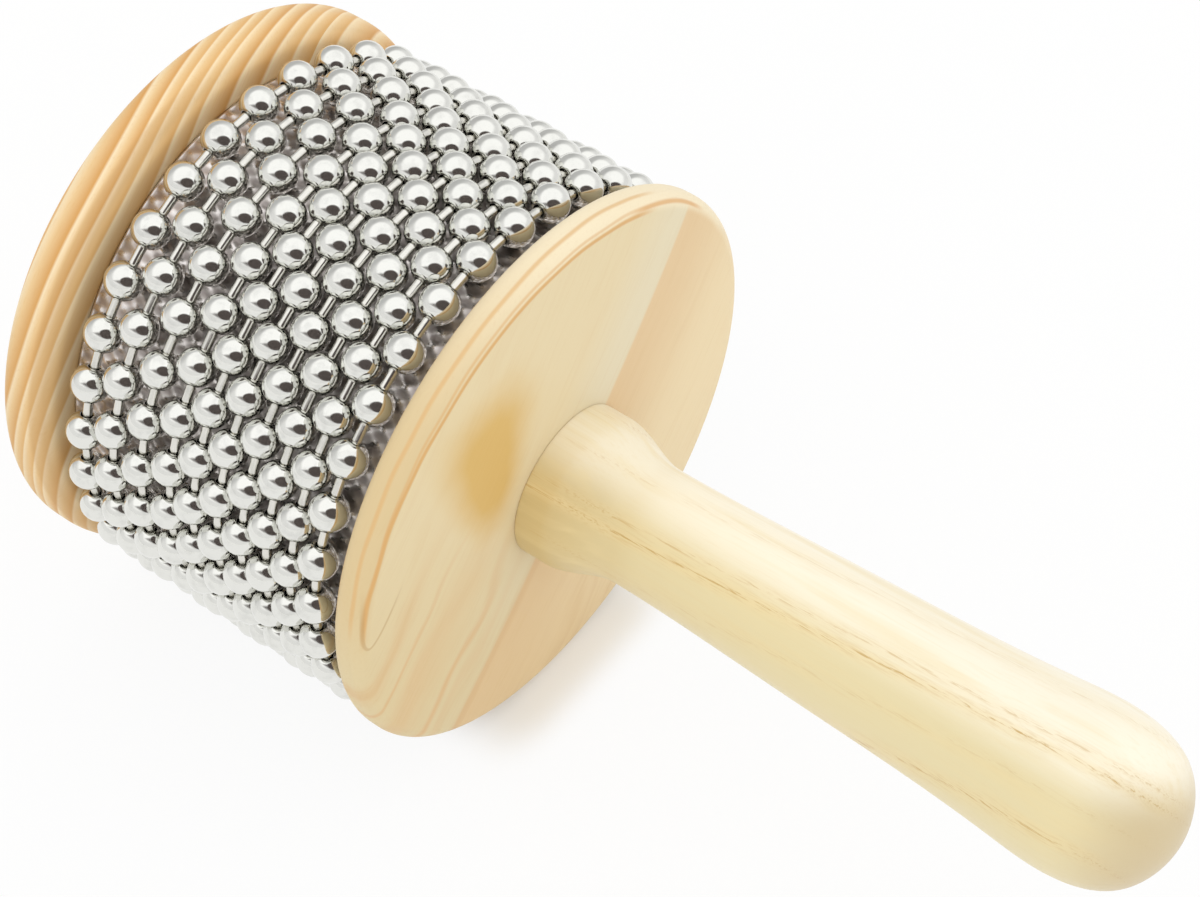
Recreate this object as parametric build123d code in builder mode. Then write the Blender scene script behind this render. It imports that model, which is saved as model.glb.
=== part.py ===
from build123d import *
from math import cos, degrees, pi, radians, sin, sqrt
import os

# A cabasa: loops of ball chain round a drum, between two wooden discs, on a turned handle.
# It lies on its side. The origin is the centre of the far disc's outer face, +X runs along
# the drum towards the handle and +Z is up. Every length is in millimetres.

os.makedirs("parts", exist_ok=True)

# Drum, and the steel sheet wrapped round it
drum_radius = 42.9
drum_length = 63.0
sheet_thickness = 0.5
wrap_gap = 0.05
sheet_end_gap = 0.2
seam_gap = 0.6
seam_angle = -45.0

# Ball chain, as sold by the metre
bead_diameter = 6.7
bead_wall = 0.45
chain_pitch = 9.3
rod_diameter = 1.7
rod_hole_gap = 0.2
rod_head_lip = 0.25
rod_head_thickness = 0.8
rod_seat_gap = 0.05

# How the loops hang on the drum: the last ones nest deep in each other, the first ones less so
chain_slack = 0.7
chain_rest_gap = 0.3
loose_nesting = 0.4
loose_turns = (-1.4, -0.4, -1.1)
nesting_depth = 1.5
first_loop_room = 3.05
last_loop_gap = 2.85
nested_turn = -0.1

# Discs: the far one is flat, the near one is thinner at the rim and its outer face is slightly domed
far_disc_thickness = 9.4
near_disc_thickness = 6.4
near_disc_dome = 1.1
disc_edge_radius = 2.6
far_disc_inner_edge_radius = 4.4
disc_edge_limit = 0.48
rim_cover = 0.55

# Handle: flare with a short collar at the disc, waist, long swell and rounded end
handle_length = 116.3
flare_radius = 14.0
flare_collar = 4.5
waist_place = 17.0
waist_radius = 10.7
middle_place = 50.0
middle_radius = 11.8
swell_setback = 26.0
swell_radius = 13.9
bulb_setback = 13.6
bulb_radius = 14.3
shoulder_setback = 4.7
shoulder_radius = 10.9
tenon_diameter = 18.0
tenon_depth = 30.0
tenon_end_gap = 0.5
tenon_chamfer = 1.0

# Dowels between the discs and the drum
dowel_diameter = 6.0
dowel_disc_depth = 4.5
dowel_drum_depth = 10.0
dowel_end_gap = 0.4
dowel_chamfer = 0.6
dowel_circle_radius = 28.0
dowels_per_disc = 2

# Tacks along the sheet's seam
tack_shank_diameter = 1.0
tack_length = 8.0
tack_end_gap = 0.4
tack_head_diameter = 3.0
tack_head_thickness = 0.25
tack_edge_margin = 3.0
tack_end_inset = 6.0

# Room on each side of a glued tenon, a dowel or a tack in its hole
fit_gap = 0.05

# Radii, from the drum outwards
sheet_inner_radius = drum_radius + wrap_gap
sheet_outer_radius = sheet_inner_radius + sheet_thickness
bead_radius = bead_diameter / 2
chain_radius = sheet_outer_radius + chain_slack + bead_radius
disc_radius = chain_radius + bead_radius + rim_cover
far_disc_round = min(disc_edge_radius, far_disc_thickness * disc_edge_limit)
far_disc_inner_round = min(far_disc_inner_edge_radius, far_disc_thickness * disc_edge_limit)
near_disc_round = min(disc_edge_radius, near_disc_thickness * disc_edge_limit)
tenon_hole_radius = tenon_diameter / 2 + fit_gap
dowel_hole_radius = dowel_diameter / 2 + fit_gap
tack_hole_radius = tack_shank_diameter / 2 + fit_gap

# Places along the axis
drum_start = far_disc_thickness
drum_end = drum_start + drum_length
near_rim_end = drum_end + near_disc_thickness
handle_start = near_rim_end + near_disc_dome
handle_end = handle_start + handle_length
sheet_start = drum_start + sheet_end_gap
sheet_end = drum_end - sheet_end_gap

# The loops: as many beads as go round, and as many nested loops as the drum has room for
beads_per_loop = round(2 * pi * chain_radius / chain_pitch)
bead_step = 360 / beads_per_loop
link_tilt = bead_step / 2
bead_spacing = 2 * chain_radius * sin(radians(link_tilt))
chain_drop = chain_slack - chain_rest_gap
nested_pitch = bead_diameter - nesting_depth
loose_pitch = bead_diameter - loose_nesting
nested_room = drum_length - first_loop_room - last_loop_gap - bead_diameter - len(loose_turns) * loose_pitch
nested_loops = 1 + int(nested_room / nested_pitch)
last_loop_place = drum_end - last_loop_gap - bead_radius
first_nested_place = last_loop_place - nested_pitch * (nested_loops - 1)

# Rods: the head of each one seats inside a bead, round the hole
rod_radius = rod_diameter / 2
bead_hole_radius = rod_radius + rod_hole_gap
rod_head_radius = bead_hole_radius + rod_head_lip
bead_inner_radius = bead_radius - bead_wall
rod_seat = sqrt(bead_inner_radius**2 - rod_head_radius**2) - rod_seat_gap
rod_reach = bead_spacing / 2 - rod_seat + rod_head_thickness


def save(piece, name):
    """Label a finished piece and write it as its own file."""
    piece.part.label = name
    export_step(piece.part, f"parts/{name}.step")


def tack_plane(place, turn):
    """The plane on the sheet's outside where a tack's head lies, facing outwards."""
    outward = Vector(0, cos(radians(turn)), sin(radians(turn)))
    return Plane(origin=Vector(place, 0, 0) + outward * sheet_outer_radius, x_dir=(1, 0, 0), z_dir=outward)


def loop_places_and_turns():
    """Place along the axis and turn of each loop, from the far disc to the near one."""
    loops = []
    for count, turn in enumerate(loose_turns):
        loops.append((first_nested_place - loose_pitch * (len(loose_turns) - count), turn))
    for count in range(nested_loops):
        loops.append((first_nested_place + nested_pitch * count, nested_turn))
    return loops


edge_turn = degrees((seam_gap / 2 + tack_edge_margin) / sheet_outer_radius)
tack_planes = [
    tack_plane(place, seam_angle + side * edge_turn)
    for place in (sheet_start + tack_end_inset, sheet_end - tack_end_inset)
    for side in (-1, 1)
]

# Drum: a turned block with a socket for the handle's tenon and holes for dowels and tacks
with BuildPart() as drum_core:
    with BuildSketch(Plane.YZ.offset(drum_start)):
        Circle(drum_radius)
    extrude(amount=drum_length)
    with BuildSketch(Plane.YZ.offset(drum_end)):
        Circle(tenon_hole_radius)
    extrude(amount=-(tenon_depth + tenon_end_gap), mode=Mode.SUBTRACT)
    for face_place, inward in ((drum_start, 1), (drum_end, -1)):
        with BuildSketch(Plane.YZ.offset(face_place)):
            with PolarLocations(dowel_circle_radius, dowels_per_disc):
                Circle(dowel_hole_radius)
        extrude(amount=inward * (dowel_drum_depth + dowel_end_gap), mode=Mode.SUBTRACT)
    for plane in tack_planes:
        with BuildSketch(plane):
            Circle(tack_hole_radius)
        extrude(amount=-(tack_length + tack_end_gap), mode=Mode.SUBTRACT)
save(drum_core, "drum_core")

# Sheet: one rolled strip, open at the seam
with BuildPart() as drum_sleeve:
    with BuildSketch(Plane.YZ.offset(sheet_start)):
        Circle(sheet_outer_radius)
        Circle(sheet_inner_radius, mode=Mode.SUBTRACT)
        with Locations(Location((0, 0, 0), seam_angle)):
            Rectangle(
                2 * sheet_outer_radius, seam_gap, align=(Align.MIN, Align.CENTER), mode=Mode.SUBTRACT
            )
    extrude(amount=sheet_end - sheet_start)
    for plane in tack_planes:
        with BuildSketch(plane):
            Circle(tack_hole_radius)
        extrude(amount=-tack_length, mode=Mode.SUBTRACT)
save(drum_sleeve, "drum_sleeve")

# Tacks: a thin flat head on the sheet and a shank through it into the drum
for number, plane in enumerate(tack_planes, start=1):
    with BuildPart() as seam_tack:
        with BuildSketch(plane):
            Circle(tack_head_diameter / 2)
        extrude(amount=tack_head_thickness)
        with BuildSketch(plane):
            Circle(tack_shank_diameter / 2)
        extrude(amount=-tack_length)
    save(seam_tack, f"seam_tack_{number}")

# Far disc: flat, with a rim rounded more on the inside, and dowel holes there
with BuildPart() as far_disc:
    with BuildSketch(Plane.YZ):
        Circle(disc_radius)
    extrude(amount=far_disc_thickness)
    fillet(far_disc.edges().filter_by(GeomType.CIRCLE).sort_by(Axis.X)[0], far_disc_round)
    fillet(far_disc.edges().filter_by(GeomType.CIRCLE).sort_by(Axis.X)[-1], far_disc_inner_round)
    with BuildSketch(Plane.YZ.offset(drum_start)):
        with PolarLocations(dowel_circle_radius, dowels_per_disc):
            Circle(dowel_hole_radius)
    extrude(amount=-(dowel_disc_depth + dowel_end_gap), mode=Mode.SUBTRACT)
save(far_disc, "far_disc")

# Near disc: turned with a slight dome round the handle's flat seat, and bored for the tenon
with BuildPart() as near_disc:
    with BuildSketch(Plane.XZ):
        with BuildLine():
            seat_edge = (handle_start, flare_radius)
            rim_edge = (near_rim_end, disc_radius)
            TangentArc(seat_edge, rim_edge, tangent=(0, 1))
            Polyline(
                rim_edge,
                (drum_end, disc_radius),
                (drum_end, tenon_hole_radius),
                (handle_start, tenon_hole_radius),
                seat_edge,
            )
        make_face()
    revolve(axis=Axis.X)
    fillet(near_disc.edges().group_by(SortBy.LENGTH)[-1], near_disc_round)
    with BuildSketch(Plane.YZ.offset(drum_end)):
        with PolarLocations(dowel_circle_radius, dowels_per_disc):
            Circle(dowel_hole_radius)
    extrude(amount=dowel_disc_depth + dowel_end_gap, mode=Mode.SUBTRACT)
save(near_disc, "near_disc")

# Dowels: each one stands half in a disc and half in the drum
for end, dowel_start in (("far", drum_start - dowel_disc_depth), ("near", drum_end - dowel_drum_depth)):
    for number in range(dowels_per_disc):
        turn = radians(360 / dowels_per_disc * number)
        with BuildPart() as dowel:
            with BuildSketch(Plane.YZ.offset(dowel_start)):
                with Locations((dowel_circle_radius * cos(turn), dowel_circle_radius * sin(turn))):
                    Circle(dowel_diameter / 2)
            extrude(amount=dowel_disc_depth + dowel_drum_depth)
            chamfer(dowel.edges().filter_by(GeomType.CIRCLE), dowel_chamfer)
        save(dowel, f"{end}_dowel_{number + 1}")

# Handle: one turning, with its tenon
with BuildPart() as handle:
    with BuildSketch(Plane.XZ):
        with BuildLine():
            flare_edge = (handle_start, flare_radius)
            collar_edge = (handle_start + flare_collar, flare_radius)
            waist = (handle_start + waist_place, waist_radius)
            tip = (handle_end, 0)
            Line(flare_edge, collar_edge)
            Spline(collar_edge, waist, tangents=[(1, 0), (1, 0)])
            Spline(
                waist,
                (handle_start + middle_place, middle_radius),
                (handle_end - swell_setback, swell_radius),
                (handle_end - bulb_setback, bulb_radius),
                (handle_end - shoulder_setback, shoulder_radius),
                tip,
                tangents=[(1, 0), (0, -1)],
            )
            Polyline(
                tip,
                (drum_end - tenon_depth, 0),
                (drum_end - tenon_depth, tenon_diameter / 2 - tenon_chamfer),
                (drum_end - tenon_depth + tenon_chamfer, tenon_diameter / 2),
                (handle_start, tenon_diameter / 2),
                flare_edge,
            )
        make_face()
    revolve(axis=Axis.X)
save(handle, "handle")

# Bead: a thin hollow ball with a hole towards each neighbour. Its own X points away from the
# drum's axis, its Y runs on round the loop and its Z lies along the drum.
with BuildPart() as bead:
    Sphere(bead_radius)
    Sphere(bead_inner_radius, mode=Mode.SUBTRACT)
    for side in (-1, 1):
        towards_neighbour = (-sin(radians(link_tilt)), side * cos(radians(link_tilt)), 0)
        with BuildSketch(Plane(origin=(0, 0, 0), z_dir=towards_neighbour)):
            Circle(bead_hole_radius)
        extrude(amount=bead_diameter, mode=Mode.SUBTRACT)

# Link: a rod with a flat head at each end, along its own Y
with BuildPart() as link:
    with BuildSketch(Plane.XZ):
        Circle(rod_radius)
    extrude(amount=rod_reach, both=True)
    for side in (-1, 1):
        with BuildSketch(Plane.XZ.offset(side * rod_reach)):
            Circle(rod_head_radius)
        extrude(amount=-side * rod_head_thickness)

# One loop at the origin, round the X axis
with BuildPart(Plane.YZ) as bead_ring:
    with PolarLocations(chain_radius, beads_per_loop):
        add(bead.part)

with BuildPart(Plane.YZ) as link_ring:
    with PolarLocations(chain_radius * cos(radians(link_tilt)), beads_per_loop, start_angle=link_tilt):
        add(link.part)

# The loops: every other one is turned by half a bead's step
for number, (place, turn) in enumerate(loop_places_and_turns(), start=1):
    half_step = link_tilt if number % 2 == 0 else 0
    seat = Location((place, 0, -chain_drop), (turn + half_step, 0, 0))
    for ring, kind in ((bead_ring, "beads"), (link_ring, "links")):
        with BuildPart() as loop:
            with Locations(seat):
                add(ring.part)
        save(loop, f"chain_{number}_{kind}")
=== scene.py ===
from math import asin, cos, pi, radians, sin, sqrt

import bpy
import numpy as np
from mathutils import Matrix, Vector


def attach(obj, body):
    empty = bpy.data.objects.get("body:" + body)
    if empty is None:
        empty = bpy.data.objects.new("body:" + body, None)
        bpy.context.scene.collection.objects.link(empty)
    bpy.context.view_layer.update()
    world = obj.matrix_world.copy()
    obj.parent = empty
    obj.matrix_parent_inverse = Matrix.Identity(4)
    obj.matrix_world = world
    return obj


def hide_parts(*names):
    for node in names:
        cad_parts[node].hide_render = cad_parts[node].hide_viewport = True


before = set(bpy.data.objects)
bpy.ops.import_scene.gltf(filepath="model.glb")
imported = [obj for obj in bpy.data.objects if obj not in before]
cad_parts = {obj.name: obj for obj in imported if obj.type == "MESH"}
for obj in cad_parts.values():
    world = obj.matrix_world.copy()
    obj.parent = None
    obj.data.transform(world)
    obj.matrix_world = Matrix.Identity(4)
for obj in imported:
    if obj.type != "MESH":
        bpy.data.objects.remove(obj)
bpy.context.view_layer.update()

# The looks of a cabasa. Lengths are in millimetres and become metres when a mesh is made.
# The frame is the part's own: +X runs from the far disc to the handle's end and +Z is up.

MM = 0.001

# Drum and sheet
drum_start = 9.4
drum_length = 63.0
sheet_inner_radius = 42.95
sheet_outer_radius = 43.45
sheet_end_gap = 0.2
seam_gap = 0.6
seam_angle = -45.0
emboss_pitch = 2.5
emboss_depth = 0.38
emboss_samples = 7
emboss_row_share = 0.87
emboss_end_fade = 0.6
emboss_seed = 3
emboss_table = (97, 89)

# Chain loops
bead_radius = 3.35
bead_wall = 0.45
bead_hole_radius = 1.05
bead_lip = 0.16
rod_radius = 0.85
rod_head_radius = 1.3
rod_head_thickness = 0.8
rod_seat_gap = 0.05
chain_radius = 47.5
chain_drop = 0.4
beads_per_loop = 32
nested_turn = -0.1
loop_places = (16.1, 22.4, 28.7, 35.0, 40.2, 45.4, 50.6, 55.8, 61.0, 66.2)
loop_turns = (-1.4, -0.4, -1.1) + (nested_turn,) * 7
bead_segments = 32
bead_rings = 18

# Discs
disc_radius = 51.4
far_disc_thickness = 9.4
far_disc_round = 2.6
far_disc_inner_round = 4.4
near_disc_thickness = 6.4
near_disc_round = 2.6
near_disc_dome = 1.1
tenon_radius = 9.0
disc_segments = 288

# Handle
handle_length = 116.3
flare_radius = 14.0
flare_round = 0.15
flare_collar = 4.5
waist_place, waist_radius = 17.0, 10.7
middle_place, middle_radius = 50.0, 11.8
swell_setback, swell_radius = 26.0, 13.9
bulb_setback, bulb_radius = 13.6, 14.3
shoulder_setback, shoulder_radius = 4.7, 10.9
tenon_depth = 30.0
tenon_chamfer = 1.0
handle_segments = 160

drum_end = drum_start + drum_length
near_rim_end = drum_end + near_disc_thickness
handle_start = near_rim_end + near_disc_dome
handle_end = handle_start + handle_length
link_tilt = pi / beads_per_loop
floor_height = -disc_radius


def linear(red, green, blue):
    """A colour given as it shows on a screen, from 0 to 255, in the linear numbers that shaders use."""
    parts = [channel / 255 for channel in (red, green, blue)]
    return tuple(p / 12.92 if p <= 0.04045 else ((p + 0.055) / 1.055) ** 2.4 for p in parts) + (1.0,)


# Meshes

def new_piece(name, points, faces, material):
    """A smooth mesh object from points in millimetres."""
    mesh = bpy.data.meshes.new(name)
    mesh.from_pydata((np.asarray(points) * MM).tolist(), [], faces)
    mesh.polygons.foreach_set("use_smooth", [True] * len(mesh.polygons))
    mesh.update()
    piece = bpy.data.objects.new(name, mesh)
    bpy.context.scene.collection.objects.link(piece)
    mesh.materials.append(material)
    return piece


def arc(centre, radius, start, end, count):
    """Points of an arc in the (x, r) half plane; angles in degrees from +X towards +r."""
    turns = np.radians(np.linspace(start, end, count))
    return [(centre[0] + radius * cos(t), centre[1] + radius * sin(t)) for t in turns]


def run(start, end, count):
    """Points on a straight line, ends included."""
    return [tuple(p) for p in np.linspace(start, end, count)]


def smooth_run(knots, first_slope, last_slope, count):
    """Points on one smooth curve through the knots, with the slopes given at its ends."""
    knots = np.array(knots, float)
    spans = np.linalg.norm(np.diff(knots, axis=0), axis=1)
    places = np.concatenate([[0], np.cumsum(spans)])
    size = len(knots)
    system, known = np.zeros((size, size)), np.zeros((size, 2))
    system[0, 0] = system[-1, -1] = 1
    known[0], known[-1] = first_slope, last_slope
    for i in range(1, size - 1):
        before, after = spans[i - 1], spans[i]
        system[i, i - 1 : i + 2] = after, 2 * (before + after), before
        steps = after / before * (knots[i] - knots[i - 1]) + before / after * (knots[i + 1] - knots[i])
        known[i] = 3 * steps
    slopes = np.linalg.solve(system, known)
    found = []
    for place in np.linspace(0, places[-1], count):
        i = min(np.searchsorted(places, place, side="right") - 1, size - 2)
        t, span = (place - places[i]) / spans[i], spans[i]
        found.append(
            (1 + 2 * t) * (1 - t) ** 2 * knots[i]
            + t * (1 - t) ** 2 * span * slopes[i]
            + t * t * (3 - 2 * t) * knots[i + 1]
            + t * t * (t - 1) * span * slopes[i + 1]
        )
    return [(float(p[0]), max(0.0, float(p[1]))) for p in found]


def turned(name, profile, segments, material, closed):
    """A turned piece: a profile of (x, r) points swept round the X axis."""
    points, rings = [], []
    for x, r in profile:
        if r < 1e-6:
            rings.append([len(points)] * segments)
            points.append((x, 0, 0))
        else:
            rings.append(list(range(len(points), len(points) + segments)))
            turns = [2 * pi * s / segments for s in range(segments)]
            points.extend((x, r * cos(turn), r * sin(turn)) for turn in turns)
    faces = []
    pairs = list(zip(rings, rings[1:] + rings[:1])) if closed else list(zip(rings, rings[1:]))
    for ring, after in pairs:
        for s in range(segments):
            n = (s + 1) % segments
            corners = []
            for corner in (ring[s], after[s], after[n], ring[n]):
                if corner not in corners:
                    corners.append(corner)
            if len(corners) > 2:
                faces.append(corners)
    return new_piece(name, points, faces, material)


def without_repeats(profile):
    """The profile without points that come twice in a row."""
    kept = [profile[0]]
    for point in profile[1:]:
        if abs(point[0] - kept[-1][0]) + abs(point[1] - kept[-1][1]) > 1e-6:
            kept.append(point)
    return kept


def far_disc_profile():
    """Far disc: a flat board with both edges rounded, from the middle of its outer face to the inner one."""
    outer_inset, inner_inset = disc_radius - far_disc_round, disc_radius - far_disc_inner_round
    back = arc((far_disc_round, outer_inset), far_disc_round, 180, 90, 14)
    front = arc((far_disc_thickness - far_disc_inner_round, inner_inset), far_disc_inner_round, 90, 0, 18)
    outer_face = run((0, 0), (0, outer_inset), 10)
    inner_face = run((far_disc_thickness, inner_inset), (far_disc_thickness, 0), 10)
    return without_repeats(outer_face + back + front + inner_face)


def near_disc_profile():
    """Near disc: a thin board with a slightly domed outer face round the handle's flat seat."""
    reach = disc_radius - flare_radius
    dome_radius = (reach**2 + near_disc_dome**2) / (2 * near_disc_dome)
    inset = disc_radius - near_disc_round
    lean = asin((inset - flare_radius) / (dome_radius - near_disc_round))
    dome_middle = handle_start - dome_radius
    rim_middle = dome_middle + (dome_radius - near_disc_round) * cos(lean)
    dome_end = flare_radius + dome_radius * sin(lean)
    dome = [
        (dome_middle + sqrt(dome_radius**2 - (r - flare_radius) ** 2), r)
        for r in np.linspace(flare_radius, dome_end, 24)
    ]
    front = arc((rim_middle, inset), near_disc_round, np.degrees(lean), 90, 16)
    back = arc((drum_end + near_disc_round, inset), near_disc_round, 90, 180, 14)
    inner_face = run((drum_end, inset), (drum_end, tenon_radius), 8)
    seat = run((handle_start, tenon_radius), (handle_start, flare_radius), 4)
    return without_repeats(seat + dome + front + back + inner_face)


def handle_profile():
    """Handle: hidden tenon, collar and flare at the disc, waist, long swell and rounded end."""
    collar = (handle_start + flare_collar, flare_radius)
    waist = (handle_start + waist_place, waist_radius)
    body = smooth_run(
        [
            waist,
            (handle_start + middle_place, middle_radius),
            (handle_end - swell_setback, swell_radius),
            (handle_end - bulb_setback, bulb_radius),
            (handle_end - shoulder_setback, shoulder_radius),
            (handle_end, 0),
        ],
        (1, 0),
        (0, -1),
        120,
    )
    flare = smooth_run([collar, waist], (1, 0), (1, 0), 30)
    edge = arc((handle_start + flare_round, flare_radius - flare_round), flare_round, 180, 90, 6)
    tenon_end = drum_end - tenon_depth
    tenon = [
        (tenon_end, 0),
        (tenon_end, tenon_radius - tenon_chamfer),
        (tenon_end + tenon_chamfer, tenon_radius),
        (handle_start, tenon_radius),
    ]
    return without_repeats(tenon + edge + flare + body)


def bead_shape():
    """One hollow bead: rings of points round its own Y axis, whose two holes lean to the neighbours.
    Its own X points away from the drum's axis and its Z lies along the drum."""
    hole_edge = asin((bead_hole_radius + bead_lip) / bead_radius)
    inner_radius = bead_radius - bead_wall
    rings = []
    for polar in np.linspace(hole_edge, pi - hole_edge, bead_rings):
        rings.append((bead_radius * cos(polar), bead_radius * sin(polar)))
    edge = bead_radius * cos(hole_edge)
    inside = sqrt(inner_radius**2 - bead_hole_radius**2)
    lip = [
        (edge - 0.03, bead_hole_radius + 0.05),
        (edge - 0.12, bead_hole_radius),
        (inside, bead_hole_radius),
    ]
    rings = [lip[2], lip[1], lip[0]] + rings + [(-y, r) for y, r in lip]
    points = []
    for y, r in rings:
        for s in range(bead_segments):
            turn = 2 * pi * s / bead_segments
            points.append((r * cos(turn), y, r * sin(turn)))
    points = np.array(points)
    share = np.clip(np.abs(points[:, 1]) / bead_radius, 0, 1)
    lean = np.sign(points[:, 1]) * link_tilt * share**2
    x, y = points[:, 0].copy(), points[:, 1].copy()
    points[:, 0] = x * np.cos(lean) - y * np.sin(lean)
    points[:, 1] = x * np.sin(lean) + y * np.cos(lean)
    return points, ring_faces(len(rings), bead_segments)


def ring_faces(rings, segments, closed=True):
    """Faces between rings, or rows, that have the same number of points."""
    return [
        (
            ring * segments + s,
            ring * segments + (s + 1) % segments,
            (ring + 1) * segments + (s + 1) % segments,
            (ring + 1) * segments + s,
        )
        for ring in range(rings - 1)
        for s in range(segments if closed else segments - 1)
    ]


def rod_shape():
    """One link: a rod along its own Y with a flat head at each end, rounded where they meet."""
    segments = 16
    spacing = 2 * chain_radius * sin(link_tilt)
    inner_radius = bead_radius - bead_wall
    seat = sqrt(inner_radius**2 - rod_head_radius**2) - rod_seat_gap
    reach = spacing / 2 - seat + rod_head_thickness
    neck = reach - rod_head_thickness
    half = [
        (0, rod_radius * 0.985),
        (0.6, rod_radius * 0.99),
        (1.2, rod_radius),
        (neck - 0.3, rod_radius),
        (neck - 0.1, rod_radius + 0.04),
        (neck, rod_radius + 0.14),
        (neck + 0.05, rod_head_radius - 0.08),
        (neck + 0.15, rod_head_radius),
        (reach - 0.15, rod_head_radius),
        (reach, rod_head_radius - 0.15),
        (reach, 0.01),
    ]
    rings = [(-y, r) for y, r in reversed(half[1:])] + half
    points = []
    for y, r in rings:
        for s in range(segments):
            turn = 2 * pi * s / segments
            points.append((r * cos(turn), y, r * sin(turn)))
    return np.array(points), ring_faces(len(rings), segments)


def ring_of(shape, radius, first_turn, place):
    """The shape set round the drum once for each bead, each copy facing outwards."""
    shape_points, shape_faces = shape
    points, faces = [], []
    for count in range(beads_per_loop):
        turn = first_turn + 2 * pi * count / beads_per_loop
        outward = np.array((0, cos(turn), sin(turn)))
        onward = np.array((0, -sin(turn), cos(turn)))
        along = np.array((1.0, 0, 0))
        middle = np.array((place, 0, -chain_drop)) + radius * outward
        first = count * len(shape_points)
        points.append(middle + shape_points @ np.stack([outward, onward, along]))
        faces.extend(tuple(first + corner for corner in face) for face in shape_faces)
    return np.concatenate(points), faces


def sleeve_mesh():
    """The sheet: embossed with staggered round pips on the outside, plain inside, open at the seam."""
    start, end = drum_start + sheet_end_gap, drum_end - sheet_end_gap
    round_count = int(2 * pi * sheet_outer_radius / emboss_pitch) * emboss_samples
    along_count = int((end - start) / emboss_pitch) * emboss_samples
    half_gap = seam_gap / 2 / sheet_outer_radius
    turns = np.linspace(radians(seam_angle) + half_gap, radians(seam_angle) + 2 * pi - half_gap, round_count)
    places = np.linspace(start, end, along_count)
    turn_grid, place_grid = np.meshgrid(turns, places, indexing="ij")
    row = pi * place_grid / (emboss_pitch * emboss_row_share)
    column = 2 * pi * turn_grid * sheet_outer_radius / emboss_pitch
    row_number = np.floor(row / pi + 0.5).astype(int)
    column_number = np.floor(column / pi + 0.5).astype(int)
    strength = np.random.default_rng(emboss_seed).uniform(0.35, 1.0, emboss_table)
    pip_strength = strength[row_number % emboss_table[0], column_number % emboss_table[1]]
    pips = np.cos(row) * np.cos(column) * pip_strength
    edge = np.minimum(place_grid - start, end - place_grid)
    height = emboss_depth * (0.5 * pips - 0.5) * np.clip(edge / emboss_end_fade, 0, 1)
    radius = sheet_outer_radius + height
    outer = np.stack([place_grid, radius * np.cos(turn_grid), radius * np.sin(turn_grid)], -1)
    inner_ring = np.stack([sheet_inner_radius * np.cos(turns), sheet_inner_radius * np.sin(turns)], -1)
    inner = np.stack([np.insert(inner_ring, 0, x, axis=1) for x in (end, start)], 1)
    loop = np.concatenate([outer, inner], 1)
    size = loop.shape[1]
    first = np.arange(round_count - 1)[:, None] * size
    here = np.arange(size)[None, :]
    after = (here + 1) % size
    corners = [first + here, first + after, first + size + after, first + size + here]
    faces = np.stack(corners, -1).reshape(-1, 4)
    caps = [list(range(size)), list(range((round_count - 1) * size, round_count * size))[::-1]]
    return loop.reshape(-1, 3), [tuple(f) for f in faces.tolist()] + caps


# Materials

class Nodes:
    """Short calls that make one material's nodes.
    A value may be a number, a colour or another node's output."""

    def __init__(self, tree):
        self.tree = tree

    def add(self, kind, inputs=None, output=0, **settings):
        node = self.tree.nodes.new(kind)
        for name, value in settings.items():
            setattr(node, name, value)
        for name, value in (inputs or {}).items():
            self.put(value, node.inputs[name])
        return node.outputs[output]

    def put(self, value, socket):
        if isinstance(value, bpy.types.NodeSocket):
            self.tree.links.new(value, socket)
        else:
            socket.default_value = value

    def math(self, operation, first, second=0.0, third=0.0, clamp=False):
        return self.add(
            "ShaderNodeMath", {0: first, 1: second, 2: third}, operation=operation, use_clamp=clamp
        )

    def product(self, first, second):
        return self.math("MULTIPLY", first, second)

    def total(self, first, second):
        return self.math("ADD", first, second)

    def step(self, value, low, high, to_low=0.0, to_high=1.0):
        """A smooth step from to_low, at or below low, to to_high, at or above high."""
        return self.add(
            "ShaderNodeMapRange",
            {"Value": value, "From Min": low, "From Max": high, "To Min": to_low, "To Max": to_high},
            interpolation_type="SMOOTHSTEP",
        )

    def band(self, value, middle, half, soft):
        """1 within half of middle, and 0 further than half + soft from it."""
        away = self.math("ABSOLUTE", self.math("SUBTRACT", value, middle))
        return self.step(away, half, half + soft, 1.0, 0.0)

    def mix(self, share, first, second, blend="MIX"):
        return self.add(
            "ShaderNodeMix",
            {"Factor": share, 6: first, 7: second},
            output=2,
            data_type="RGBA",
            blend_type=blend,
        )

    def ramp(self, value, stops):
        """A colour ramp with stops of (place, colour)."""
        node = self.tree.nodes.new("ShaderNodeValToRGB")
        elements = node.color_ramp.elements
        while len(elements) < len(stops):
            elements.new(0.5)
        for element, (place, colour) in zip(elements, stops):
            element.position = place
            element.color = colour
        self.put(value, node.inputs["Fac"])
        return node.outputs["Color"]

    def noise(self, vector, scale, detail=2.0, roughness=0.5):
        return self.add(
            "ShaderNodeTexNoise",
            {"Vector": vector, "Scale": scale, "Detail": detail, "Roughness": roughness},
        )

    def place(self):
        """The point's place on the piece in millimetres, as a vector and its three parts."""
        point = self.add("ShaderNodeTexCoord", output="Object")
        vector = self.add("ShaderNodeVectorMath", {0: point, "Scale": 1 / MM}, operation="SCALE")
        parts = self.tree.nodes.new("ShaderNodeSeparateXYZ")
        self.put(vector, parts.inputs[0])
        return vector, parts.outputs[0], parts.outputs[1], parts.outputs[2]

    def vector(self, x, y, z):
        return self.add("ShaderNodeCombineXYZ", {0: x, 1: y, 2: z})

    def bump(self, height, strength, distance):
        return self.add("ShaderNodeBump", {"Height": height, "Strength": strength, "Distance": distance})


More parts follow.
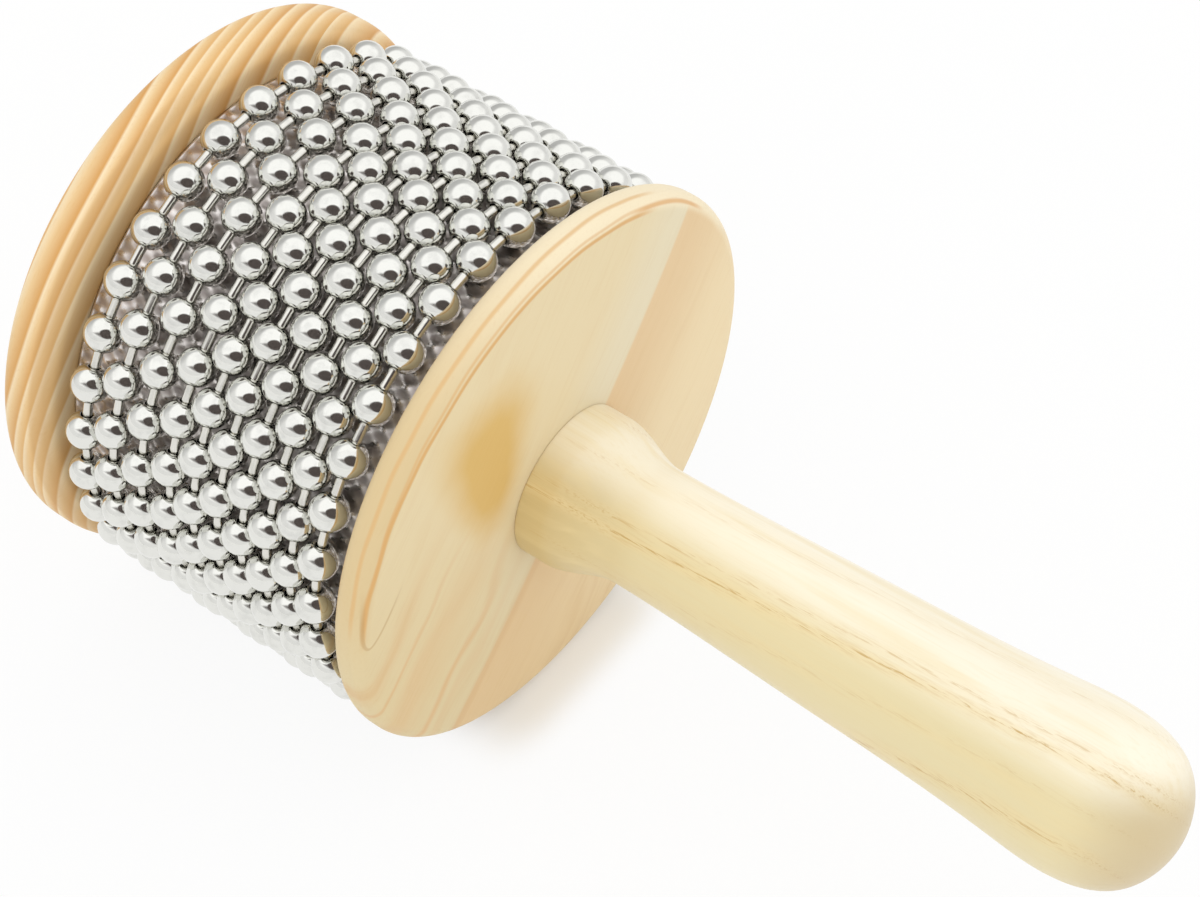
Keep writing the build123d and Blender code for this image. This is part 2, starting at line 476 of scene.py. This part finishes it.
def new_material(name):
    """An empty material, its nodes and its main shader."""
    material = bpy.data.materials.new(name)
    material.use_nodes = True
    tree = material.node_tree
    tree.nodes.clear()
    shader = tree.nodes.new("ShaderNodeBsdfPrincipled")
    output = tree.nodes.new("ShaderNodeOutputMaterial")
    tree.links.new(shader.outputs[0], output.inputs["Surface"])
    return material, Nodes(tree), shader


def finish_material(nodes, shader, **values):
    """Set the main shader's sockets by name, with spaces written as underscores."""
    for name, value in values.items():
        nodes.put(value, shader.inputs[name.replace("_", " ")])


def along_grain(nodes, first, second, turn):
    """Two coordinates turned together: along the grain, and across it."""
    along = nodes.total(nodes.product(first, cos(turn)), nodes.product(second, sin(turn)))
    across = nodes.total(nodes.product(first, -sin(turn)), nodes.product(second, cos(turn)))
    return along, across


def fibres(nodes, along, across, depth):
    """Fine fibres: noise drawn out along the grain."""
    vector = nodes.vector(nodes.product(along, 0.06), nodes.product(across, 2.2), nodes.product(depth, 2.2))
    return nodes.noise(vector, 1.0, detail=4.0, roughness=0.6)


def near_disc_wood():
    """Pale pine, sawn nearly along its growth layers: wide soft bands on the face, lines round the rim."""
    material, nodes, shader = new_material("near_disc_pine")
    vector, x, y, z = nodes.place()
    along, across = along_grain(nodes, y, z, radians(49.0))
    low = nodes.step(along, 4.0, -42.0)
    drawn_out = nodes.vector(nodes.product(along, 0.02), across, 0.0)
    sway = nodes.math("SUBTRACT", nodes.noise(drawn_out, 0.05), 0.5)
    line = nodes.total(across, nodes.product(sway, 5.0))
    left = nodes.mix(nodes.step(line, -1.0, 16.0), linear(231, 219, 188), linear(232, 214, 174))
    left = nodes.mix(nodes.product(low, 0.75), left, linear(222, 202, 156))
    right = nodes.mix(nodes.step(line, -34.0, -2.0), linear(240, 220, 180), linear(230, 201, 157))
    right = nodes.mix(nodes.product(low, 0.6), right, linear(225, 195, 147))
    wood = nodes.mix(nodes.step(line, -2.1, -1.1), right, left)
    seam = nodes.product(nodes.band(line, -2.4, 0.2, 1.8), nodes.step(along, 14.0, -30.0))
    wood = nodes.mix(nodes.product(seam, 0.35), wood, linear(214, 172, 120))

    # Streaks across the lower left, where the layers come out at the rim
    rippled = nodes.vector(nodes.product(along, 0.035), nodes.product(across, 0.07), 0.0)
    wave = nodes.noise(rippled, 1.0, detail=1.5)
    wavy = nodes.total(line, nodes.product(nodes.math("SUBTRACT", wave, 0.5), 16.0))
    streaks = ((34.0, 4.5, 0.4), (26.0, 1.2, 0.6), (18.0, 6.0, 0.4), (10.0, 2.0, 0.65), (4.5, 3.0, 0.25))
    for place, half, strength in streaks:
        streak = nodes.band(wavy, place, 0.1, half)
        wood = nodes.mix(nodes.product(nodes.product(streak, low), strength), wood, linear(222, 179, 126))
    stretched = nodes.vector(nodes.product(along, 0.014), nodes.product(wavy, 0.2), 0.0)
    faint = nodes.step(nodes.noise(stretched, 1.0, detail=3.0, roughness=0.6), 0.48, 0.74)
    share = nodes.math("MULTIPLY_ADD", low, 0.3, 0.12)
    wood = nodes.mix(nodes.product(faint, share), wood, linear(218, 184, 132))

    # The stain beside the handle: wide above, drawn out to a point below
    ragged = nodes.product(nodes.math("SUBTRACT", nodes.noise(vector, 0.1, detail=2.0), 0.5), 7.0)
    height = nodes.total(z, ragged)
    reach = nodes.step(z, 0.0, 30.0, 5.0, 14.0)
    aside = nodes.math("ABSOLUTE", nodes.total(nodes.math("SUBTRACT", y, -19.3), nodes.product(ragged, 0.5)))
    inside = nodes.step(nodes.math("DIVIDE", aside, reach), 1.1, 0.1)
    upright = nodes.product(nodes.step(height, 2.0, 14.0), nodes.step(height, 41.0, 26.0))
    stain = nodes.product(inside, upright)
    wood = nodes.mix(nodes.math("MULTIPLY", stain, 1.15, clamp=True), wood, linear(221, 184, 113))

    # Growth lines round the rim
    radius = nodes.math("SQRT", nodes.total(nodes.product(y, y), nodes.product(z, z)))
    turn = nodes.math("ARCTAN2", z, y)
    wander = nodes.product(nodes.math("SUBTRACT", nodes.noise(vector, 0.05, detail=1.0), 0.5), 1.6)
    out = nodes.total(radius, wander)
    edge = nodes.product(nodes.step(radius, 48.6, 50.4), nodes.step(across, -34.0, -14.0))
    edge = nodes.product(edge, nodes.step(z, -4.0, 16.0))
    warm = nodes.step(y, 10.0, -40.0)
    wood = nodes.mix(edge, wood, nodes.mix(warm, linear(244, 229, 196), linear(222, 198, 151)))
    inward = nodes.math("SUBTRACT", out, nodes.step(turn, radians(115), radians(165), 0.0, 0.8))
    stretch = nodes.band(turn, radians(117), radians(50), radians(9))
    main = nodes.product(nodes.band(inward, 49.3, 0.1, 0.5), stretch)
    wood = nodes.mix(nodes.product(main, 0.85), wood, linear(219, 168, 102))
    stretch = nodes.band(turn, radians(112), radians(40), radians(14))
    faint = nodes.product(nodes.band(out, 50.2, 0.05, 0.3), stretch)
    wood = nodes.mix(nodes.product(faint, 0.5), wood, linear(222, 172, 108))
    stretch = nodes.band(turn, radians(54), radians(9), radians(7))
    side = nodes.product(nodes.band(out, 50.0, 0.1, 0.4), stretch)
    wood = nodes.mix(nodes.product(side, 0.8), wood, linear(222, 172, 112))
    deep = nodes.band(nodes.total(x, wander), 76.6, 0.1, 0.5)
    stretch = nodes.band(turn, radians(115), radians(50), radians(9))
    deep = nodes.product(nodes.product(deep, nodes.step(radius, 50.4, 51.2)), stretch)
    wood = nodes.mix(nodes.product(deep, 0.7), wood, linear(224, 180, 120))

    # A thin growth line that turns back on itself beside the rim
    from_tip = nodes.math("SUBTRACT", z, 4.5)
    aside_tip = nodes.math("SUBTRACT", y, -49.0)
    onward = nodes.total(nodes.product(aside_tip, 0.42), nodes.product(from_tip, 0.91))
    sideways = nodes.math("SUBTRACT", nodes.product(aside_tip, 0.91), nodes.product(from_tip, 0.42))
    bend = nodes.math("SUBTRACT", onward, nodes.product(nodes.product(sideways, sideways), 0.65))
    steep = nodes.math("SQRT", nodes.math("MULTIPLY_ADD", nodes.product(sideways, sideways), 1.69, 1.0))
    thin = nodes.band(nodes.math("DIVIDE", bend, steep), 0.0, 0.12, 0.3)
    hairpin = nodes.product(thin, nodes.step(onward, 13.0, 5.0))
    wood = nodes.mix(nodes.product(hairpin, 0.45), wood, linear(190, 152, 98))

    # Fibres, and a little shade at the foot of the handle
    grain = fibres(nodes, along, across, x)
    wood = nodes.mix(nodes.product(nodes.step(grain, 0.5, 0.75), 0.12), wood, linear(212, 178, 128))
    foot = nodes.step(radius, flare_radius + 0.7, flare_radius)
    wood = nodes.mix(nodes.product(foot, 0.08), wood, linear(150, 118, 76))
    finish_material(
        nodes,
        shader,
        Base_Color=wood,
        Roughness=nodes.step(grain, 0.2, 0.8, 0.44, 0.6),
        Specular_IOR_Level=0.3,
        Normal=nodes.bump(grain, 0.12, 0.0002),
    )
    return material


def far_disc_wood():
    """Pine with strong growth rings that lie aslant in the board, so they cross the rim as stripes."""
    material, nodes, shader = new_material("far_disc_pine")
    vector, x, y, z = nodes.place()
    sway = nodes.product(nodes.math("SUBTRACT", nodes.noise(vector, 0.018, detail=1.0), 0.5), 4.0)
    layer = nodes.total(nodes.total(x, nodes.product(nodes.math("SUBTRACT", y, z), 0.29)), sway)
    span, lowest = 26.0, -22.0
    phase = nodes.math("FRACT", nodes.product(nodes.math("SUBTRACT", layer, lowest), 1 / span))
    cream, mild = linear(248, 227, 188), linear(236, 202, 149)
    orange, deep = linear(226, 177, 111), linear(217, 161, 91)
    edges = (-22.0, -19.5, -15.2, -12.2, -10.0, -7.6, -5.7, -3.0, -0.4, 1.9, 4.0)
    stops = []
    for start, end in zip(edges, edges[1:]):
        for share, colour in ((0.0, cream), (0.34, mild), (0.88, deep if (end - start) > 2.5 else orange)):
            stops.append((((1 - share) * start + share * end - lowest) / span, colour))
    wood = nodes.ramp(phase, stops)
    grain = fibres(nodes, nodes.total(y, z), nodes.math("SUBTRACT", y, z), x)
    wood = nodes.mix(nodes.product(nodes.step(grain, 0.5, 0.75), 0.18), wood, linear(216, 164, 98))
    # Painted shade: the disc darker towards the bottom, where less light falls
    low = nodes.step(z, 44.0, 10.0)
    wood = nodes.mix(nodes.product(low, 0.15), wood, linear(204, 172, 122))
    shaded = nodes.product(nodes.band(x, 7.8, 0.7, 0.9), nodes.step(y, 5.0, -14.0))
    wood = nodes.mix(nodes.product(shaded, 0.4), wood, linear(196, 152, 96))
    # Painted light: the inner face brightened where the chain's shadow falls on it
    inner = nodes.product(nodes.step(x, 8.4, 9.3), nodes.step(y, -34.0, -8.0))
    wood = nodes.mix(inner, wood, (1.12, 1.1, 1.08, 1.0), "MULTIPLY")
    finish_material(
        nodes,
        shader,
        Base_Color=wood,
        Roughness=nodes.step(grain, 0.2, 0.8, 0.42, 0.58),
        Specular_IOR_Level=0.3,
        Normal=nodes.bump(grain, 0.12, 0.0002),
    )
    return material


def handle_wood():
    """Pale ring-porous hardwood: faint layers that lean to the axis, with fine dashes of pores along them."""
    material, nodes, shader = new_material("handle_hardwood")
    vector, x, y, z = nodes.place()
    lean = nodes.total(nodes.product(y, cos(radians(30))), nodes.product(z, sin(radians(30))))
    sway = nodes.product(nodes.math("SUBTRACT", nodes.noise(vector, 0.03, detail=2.0), 0.5), 1.8)
    layer = nodes.total(nodes.math("MULTIPLY_ADD", x, -0.067, lean), sway)

    # Painted highlight: the upper side paler, a painted sheen of the light from above, and the lower side
    # darker as painted shade; golden on the lower side of the flare
    side = nodes.total(nodes.product(y, 0.5), nodes.product(z, 0.866))
    painted_top_sheen = nodes.step(side, 2.5, 10.5)
    base = nodes.mix(painted_top_sheen, linear(231, 216, 170), linear(251, 243, 221))
    golden = nodes.product(nodes.step(x, 104.0, 86.0), nodes.step(side, 13.0, 2.0, 0.2, 1.0))
    base = nodes.mix(nodes.product(golden, 0.9), base, linear(214, 190, 132))
    drawn_out = nodes.vector(nodes.product(x, 0.015), nodes.product(y, 0.35), nodes.product(z, 0.35))
    broad = nodes.noise(drawn_out, 1.0, detail=2.0)
    base = nodes.mix(nodes.product(nodes.step(broad, 0.45, 0.75), 0.45), base, linear(236, 216, 162))

    # Layers of open pores, each with a warmer band round it
    lines, glow = 0.0, 0.0
    pore_layers = (
        (-22.0, 0.9),
        (-16.2, 0.3),
        (-10.3, 1.0),
        (-8.2, 0.6),
        (-0.6, 0.3),
        (6.5, 0.5),
        (12.0, 0.6),
    )
    for place, strength in pore_layers:
        lines = nodes.math("MAXIMUM", lines, nodes.product(nodes.band(layer, place, 0.05, 0.3), strength))
        glow = nodes.math("MAXIMUM", glow, nodes.product(nodes.band(layer, place, 0.2, 1.6), strength))
    wood = nodes.mix(nodes.product(glow, 0.4), base, linear(238, 215, 160))
    stretched = nodes.vector(nodes.product(x, 0.16), nodes.product(y, 3.4), nodes.product(z, 3.4))
    pores = nodes.step(nodes.noise(stretched, 1.0, detail=3.0, roughness=0.65), 0.48, 0.62)
    open_pores = nodes.product(pores, nodes.math("MULTIPLY_ADD", lines, 0.64, nodes.product(glow, 0.25)))
    wood = nodes.mix(open_pores, wood, linear(203, 166, 94))
    grain = fibres(nodes, x, y, z)
    wood = nodes.mix(nodes.product(nodes.step(grain, 0.48, 0.72), 0.14), wood, linear(228, 204, 150))
    # Painted shade: the end of the handle darker on its lower side, where less light falls
    painted_end_shade = nodes.product(nodes.step(x, handle_end - 16.0, handle_end - 2.0), nodes.step(side, 13.0, 4.0))
    wood = nodes.mix(nodes.product(painted_end_shade, 0.85), wood, linear(208, 188, 148))
    # Painted shadow: a thin dark line where the handle meets the disc
    painted_joint_shadow = nodes.step(x, handle_start + 0.5, handle_start + 0.1)
    wood = nodes.mix(nodes.product(painted_joint_shadow, 0.12), wood, linear(150, 118, 76))
    height = nodes.math("SUBTRACT", nodes.product(grain, 0.35), open_pores)
    finish_material(
        nodes,
        shader,
        Base_Color=wood,
        Roughness=nodes.step(grain, 0.2, 0.8, 0.36, 0.5),
        Specular_IOR_Level=0.4,
        Coat_Weight=0.35,
        Coat_Roughness=0.3,
        Normal=nodes.bump(height, 0.15, 0.0002),
    )
    return material


def plain_wood(name, light, dark, stretch):
    """Hidden wood: straight fibres between two tones."""
    material, nodes, shader = new_material(name)
    _, x, y, z = nodes.place()
    drawn_out = nodes.vector(nodes.product(x, stretch), nodes.product(y, 0.5), nodes.product(z, 0.5))
    grain = nodes.noise(drawn_out, 1.0, detail=4.0)
    finish_material(
        nodes,
        shader,
        Base_Color=nodes.mix(nodes.step(grain, 0.3, 0.7), light, dark),
        Roughness=nodes.step(grain, 0.2, 0.8, 0.55, 0.7),
        Normal=nodes.bump(grain, 0.2, 0.0003),
    )
    return material


def polished_metal(name, colour, smooth, rough, scratch):
    """Bright plated metal: even gloss with faint clouds and hairline scratches."""
    material, nodes, shader = new_material(name)
    vector, x, y, z = nodes.place()
    clouds = nodes.noise(vector, 0.5, detail=3.0)
    drawn_out = nodes.vector(nodes.product(x, 9.0), nodes.product(y, 1.4), nodes.product(z, 1.4))
    hairs = nodes.noise(drawn_out, 1.6, detail=3.0)
    tint = tuple(0.9 * channel for channel in colour[:3]) + (1.0,)
    finish_material(
        nodes,
        shader,
        Base_Color=nodes.mix(nodes.step(clouds, 0.45, 0.75), colour, tint),
        Metallic=1.0,
        Roughness=nodes.step(clouds, 0.3, 0.75, smooth, rough),
        Normal=nodes.bump(hairs, scratch, 0.00005),
    )
    return material


def embossed_steel():
    """Bright sheet steel, darker between the pips."""
    material, nodes, shader = new_material("sheet_steel_embossed")
    vector, _, y, z = nodes.place()
    radius = nodes.math("SQRT", nodes.total(nodes.product(y, y), nodes.product(z, z)))
    valley, top = sheet_outer_radius - 0.8 * emboss_depth, sheet_outer_radius - 0.1 * emboss_depth
    raised = nodes.step(radius, valley, top)
    clouds = nodes.noise(vector, 0.25, detail=4.0, roughness=0.6)
    # A darker colour between the pips and a brighter one on them
    bright, valley_colour = linear(236, 231, 228), linear(180, 170, 166)
    bright_share = nodes.math("MULTIPLY_ADD", raised, 0.8, nodes.product(clouds, 0.3), clamp=True)
    metal = nodes.mix(bright_share, valley_colour, bright)
    finish_material(
        nodes,
        shader,
        Base_Color=metal,
        Metallic=1.0,
        Roughness=nodes.step(raised, 0.0, 1.0, 0.42, 0.24),
        Normal=nodes.bump(clouds, 0.06, 0.0001),
    )
    return material


# Studio

camera_place = (0.2512, -0.2196, 0.3396)
camera_right = (0.7961, 0.6051, 0.0062)
camera_up = (-0.4667, 0.6075, 0.6428)
camera_lens = 79.03
tent_top, tent_near, tent_away = 1.21, 0.91, 0.58
pool_middle = (80.0, 0.0)
pool_inner, pool_outer = 260.0, 700.0
flag_middle = (45.0, -20.0, 35.0)
flag_distance = 650.0
flag_across, flag_upward = (-0.66, 0.68), (-0.5, 0.4)
flag_cells = 32


def camera_axes():
    """The camera's right, up and back directions."""
    right = Vector(camera_right).normalized()
    back = right.cross(Vector(camera_up)).normalized()
    return right, back.cross(right), back


def add_camera():
    """The camera where the photograph's stood."""
    data = bpy.data.cameras.new("camera")
    data.lens = camera_lens
    data.sensor_width = 36.0
    camera = bpy.data.objects.new("camera", data)
    bpy.context.scene.collection.objects.link(camera)
    turn = Matrix(camera_axes()).transposed().to_4x4()
    camera.matrix_world = Matrix.Translation(Vector(camera_place)) @ turn
    data.clip_start, data.clip_end = 0.01, 50.0
    bpy.context.scene.camera = camera


def add_world():
    """A white tent of light, brightest overhead and dimmer on the side away from the camera."""
    world = bpy.data.worlds.new("studio")
    bpy.context.scene.world = world
    world.use_nodes = True
    tree = world.node_tree
    tree.nodes.clear()
    nodes = Nodes(tree)
    direction = nodes.add("ShaderNodeTexCoord", output="Generated")
    parts = tree.nodes.new("ShaderNodeSeparateXYZ")
    tree.links.new(direction, parts.inputs[0])
    away = nodes.total(nodes.product(parts.outputs[0], -0.9), nodes.product(parts.outputs[1], 0.4))
    horizon = nodes.step(away, 0.4, 0.9, tent_near, tent_away)
    lowered = nodes.product(nodes.math("MAXIMUM", away, 0.0), 0.4)
    height = nodes.step(nodes.math("SUBTRACT", parts.outputs[2], lowered), 0.28, 0.62)
    strength = nodes.total(horizon, nodes.product(height, nodes.math("SUBTRACT", tent_top, horizon)))
    light = nodes.add("ShaderNodeBackground", {"Color": linear(255, 255, 255), "Strength": strength})
    output = tree.nodes.new("ShaderNodeOutputWorld")
    tree.links.new(light, output.inputs["Surface"])


def floor_material():
    """White table: lit as it is under the drum, and nearer white to the eye and in reflections round it."""
    material = bpy.data.materials.new("table_white")
    material.use_nodes = True
    tree = material.node_tree
    tree.nodes.clear()
    nodes = Nodes(tree)
    vector, x, y, _ = nodes.place()
    off_x = nodes.math("SUBTRACT", x, pool_middle[0])
    off_y = nodes.math("SUBTRACT", y, pool_middle[1])
    away = nodes.math("SQRT", nodes.total(nodes.product(off_x, off_x), nodes.product(off_y, off_y)))
    under = nodes.product(nodes.step(nodes.math("ABSOLUTE", y), 32.0, 12.0), nodes.band(x, 38.0, 42.0, 12.0))
    spread = nodes.step(away, pool_inner, pool_outer, 0.9, 0.0)
    pool = nodes.product(spread, nodes.step(under, 0.0, 1.0, 1.0, 0.2))
    path = tree.nodes.new("ShaderNodeLightPath")
    seen = nodes.math("MAXIMUM", path.outputs["Is Camera Ray"], path.outputs["Is Glossy Ray"])
    seen = nodes.math("MAXIMUM", seen, path.outputs["Is Transmission Ray"])
    paper = nodes.noise(vector, 0.02, detail=3.0)
    lit = nodes.add(
        "ShaderNodeBsdfDiffuse", {"Color": nodes.mix(paper, linear(243, 243, 241), linear(246, 246, 245))}
    )
    white = nodes.add("ShaderNodeEmission", {"Color": linear(255, 255, 255), "Strength": 1.0})
    shader = nodes.add("ShaderNodeMixShader", {0: nodes.product(seen, pool), 1: lit, 2: white})
    output = tree.nodes.new("ShaderNodeOutputMaterial")
    tree.links.new(shader, output.inputs["Surface"])
    return material


def add_floor():
    """A round white table top."""
    rings = [0, 200, 500, 1000, 2000, 4000]
    points, faces = [(pool_middle[0], pool_middle[1], floor_height)], []
    sides = 64
    for ring in rings[1:]:
        for s in range(sides):
            turn = 2 * pi * s / sides
            x, y = pool_middle[0] + ring * cos(turn), pool_middle[1] + ring * sin(turn)
            points.append((x, y, floor_height))
    for s in range(sides):
        faces.append((0, 1 + s, 1 + (s + 1) % sides))
    for count in range(len(rings) - 2):
        inner, outer = 1 + count * sides, 1 + (count + 1) * sides
        for s in range(sides):
            n = (s + 1) % sides
            faces.append((inner + s, outer + s, outer + n, inner + n))
    new_piece("table", points, faces, floor_material())


def flag_material():
    """Dark cloth with a soft edge, drawn out to a thin tail on the left."""
    material = bpy.data.materials.new("flag_black")
    material.use_nodes = True
    tree = material.node_tree
    tree.nodes.clear()
    nodes = Nodes(tree)
    cloth = nodes.add("ShaderNodeUVMap", uv_map="flag")
    parts = tree.nodes.new("ShaderNodeSeparateXYZ")
    tree.links.new(cloth, parts.inputs[0])
    across, upward = parts.outputs[0], parts.outputs[1]

    def oval(middle, half_width, half_height, slope, taper):
        """1 on an oval's edge, less inside it.
        Towards the right its long axis drops by slope, and it widens by taper."""
        aside = nodes.math("SUBTRACT", across, middle[0])
        above = nodes.total(nodes.math("SUBTRACT", upward, middle[1]), nodes.product(aside, slope))
        wide = nodes.product(aside, 1 / half_width)
        room = nodes.math("MAXIMUM", nodes.math("MULTIPLY_ADD", wide, taper * half_height, half_height), 0.02)
        high = nodes.math("DIVIDE", above, room)
        return nodes.math("SQRT", nodes.total(nodes.product(wide, wide), nodes.product(high, high)))

    body = nodes.step(oval((0.19, -0.09), 0.35, 0.25, 0.1, 0.12), 1.08, 0.84)
    tail = nodes.product(nodes.step(oval((-0.12, -0.1), 0.34, 0.13, 0.3, 0.7), 1.25, 0.2), 0.85)
    cover = nodes.math("MAXIMUM", body, tail)
    dark = nodes.add("ShaderNodeBsdfDiffuse", {"Color": linear(92, 84, 82)})
    clear = nodes.add("ShaderNodeBsdfTransparent")
    shader = nodes.add("ShaderNodeMixShader", {0: cover, 1: clear, 2: dark})
    output = tree.nodes.new("ShaderNodeOutputMaterial")
    tree.links.new(shader, output.inputs["Surface"])
    return material


def add_flag():
    """A dark flag near the camera, which polished beads mirror as their dark patch. Only reflections show it.
    Its cloth is marked with the place on a bead, in radii right of and above the middle, that mirrors it."""
    right, up, back = camera_axes()
    points, marks = [], []
    for upward in np.linspace(*flag_upward, flag_cells + 1):
        for across in np.linspace(*flag_across, flag_cells + 1):
            outward = sqrt(1 - across**2 - upward**2)
            facing = right * float(across) + up * float(upward) + back * outward
            mirrored = facing * (2 * outward) - back
            points.append(tuple(Vector(flag_middle) + mirrored * flag_distance))
            marks.append((across, upward))
    faces = ring_faces(flag_cells + 1, flag_cells + 1, closed=False)
    flag = new_piece("flag", points, faces, flag_material())
    layer = flag.data.uv_layers.new(name="flag")
    for loop in flag.data.loops:
        layer.data[loop.index].uv = marks[loop.vertex_index]
    flag.visible_camera = flag.visible_diffuse = flag.visible_shadow = False


def dress(piece, body, slot, *nodes):
    """The piece stands for these nodes and moves with the body. The slot is not used."""
    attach(piece, body)
    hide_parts(*nodes)


def add_fixed_pieces():
    """Handle, discs and sheet, which move as one."""
    handle = turned("handle_turned", handle_profile(), handle_segments, handle_wood(), closed=False)
    dress(handle, "instrument", "handle_wood", "handle")
    near = turned("near_disc_turned", near_disc_profile(), disc_segments, near_disc_wood(), closed=True)
    dress(near, "instrument", "disc_wood", "near_disc")
    far = turned("far_disc_turned", far_disc_profile(), disc_segments, far_disc_wood(), closed=False)
    dress(far, "instrument", "disc_wood", "far_disc")
    sleeve = new_piece("drum_sleeve_embossed", *sleeve_mesh(), embossed_steel())
    dress(sleeve, "instrument", "sheet_steel", "drum_sleeve")


def add_loops():
    """Ten loops of ball chain, each on its own body."""
    bead, rod = bead_shape(), rod_shape()
    bead_metal = polished_metal("bead_nickel", linear(229, 229, 224), 0.06, 0.12, 0.03)
    rod_metal = polished_metal("rod_nickel", linear(224, 222, 215), 0.1, 0.2, 0.08)
    for number, (place, turn) in enumerate(zip(loop_places, loop_turns), start=1):
        first = radians(turn) + (link_tilt if number % 2 == 0 else 0)
        ring = ring_of(bead, chain_radius, first, place)
        beads = new_piece(f"chain_{number}_beads_polished", *ring, bead_metal)
        dress(beads, f"chain_{number}", "bead_metal", f"chain_{number}_beads")
        ring = ring_of(rod, chain_radius * cos(link_tilt), first + link_tilt, place)
        rods = new_piece(f"chain_{number}_rods_polished", *ring, rod_metal)
        dress(rods, f"chain_{number}", "rod_metal", f"chain_{number}_links")


def finish_hidden_nodes():
    """Materials for the nodes that stay as they are: drum, dowels and tacks."""
    core = plain_wood("drum_poplar", linear(226, 204, 162), linear(206, 178, 130), 0.05)
    dowel = plain_wood("dowel_beech", linear(222, 188, 142), linear(204, 164, 116), 0.08)
    steel = polished_metal("tack_steel", linear(196, 194, 190), 0.25, 0.4, 0.1)
    finishes = {"drum_core": core, "dowel": dowel, "tack": steel}
    for name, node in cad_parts.items():
        for word, material in finishes.items():
            if word in name:
                node.data.materials.clear()
                node.data.materials.append(material)


add_camera()
add_world()
add_floor()
add_flag()
add_fixed_pieces()
add_loops()
finish_hidden_nodes()
bpy.context.scene.view_settings.view_transform = "Standard"
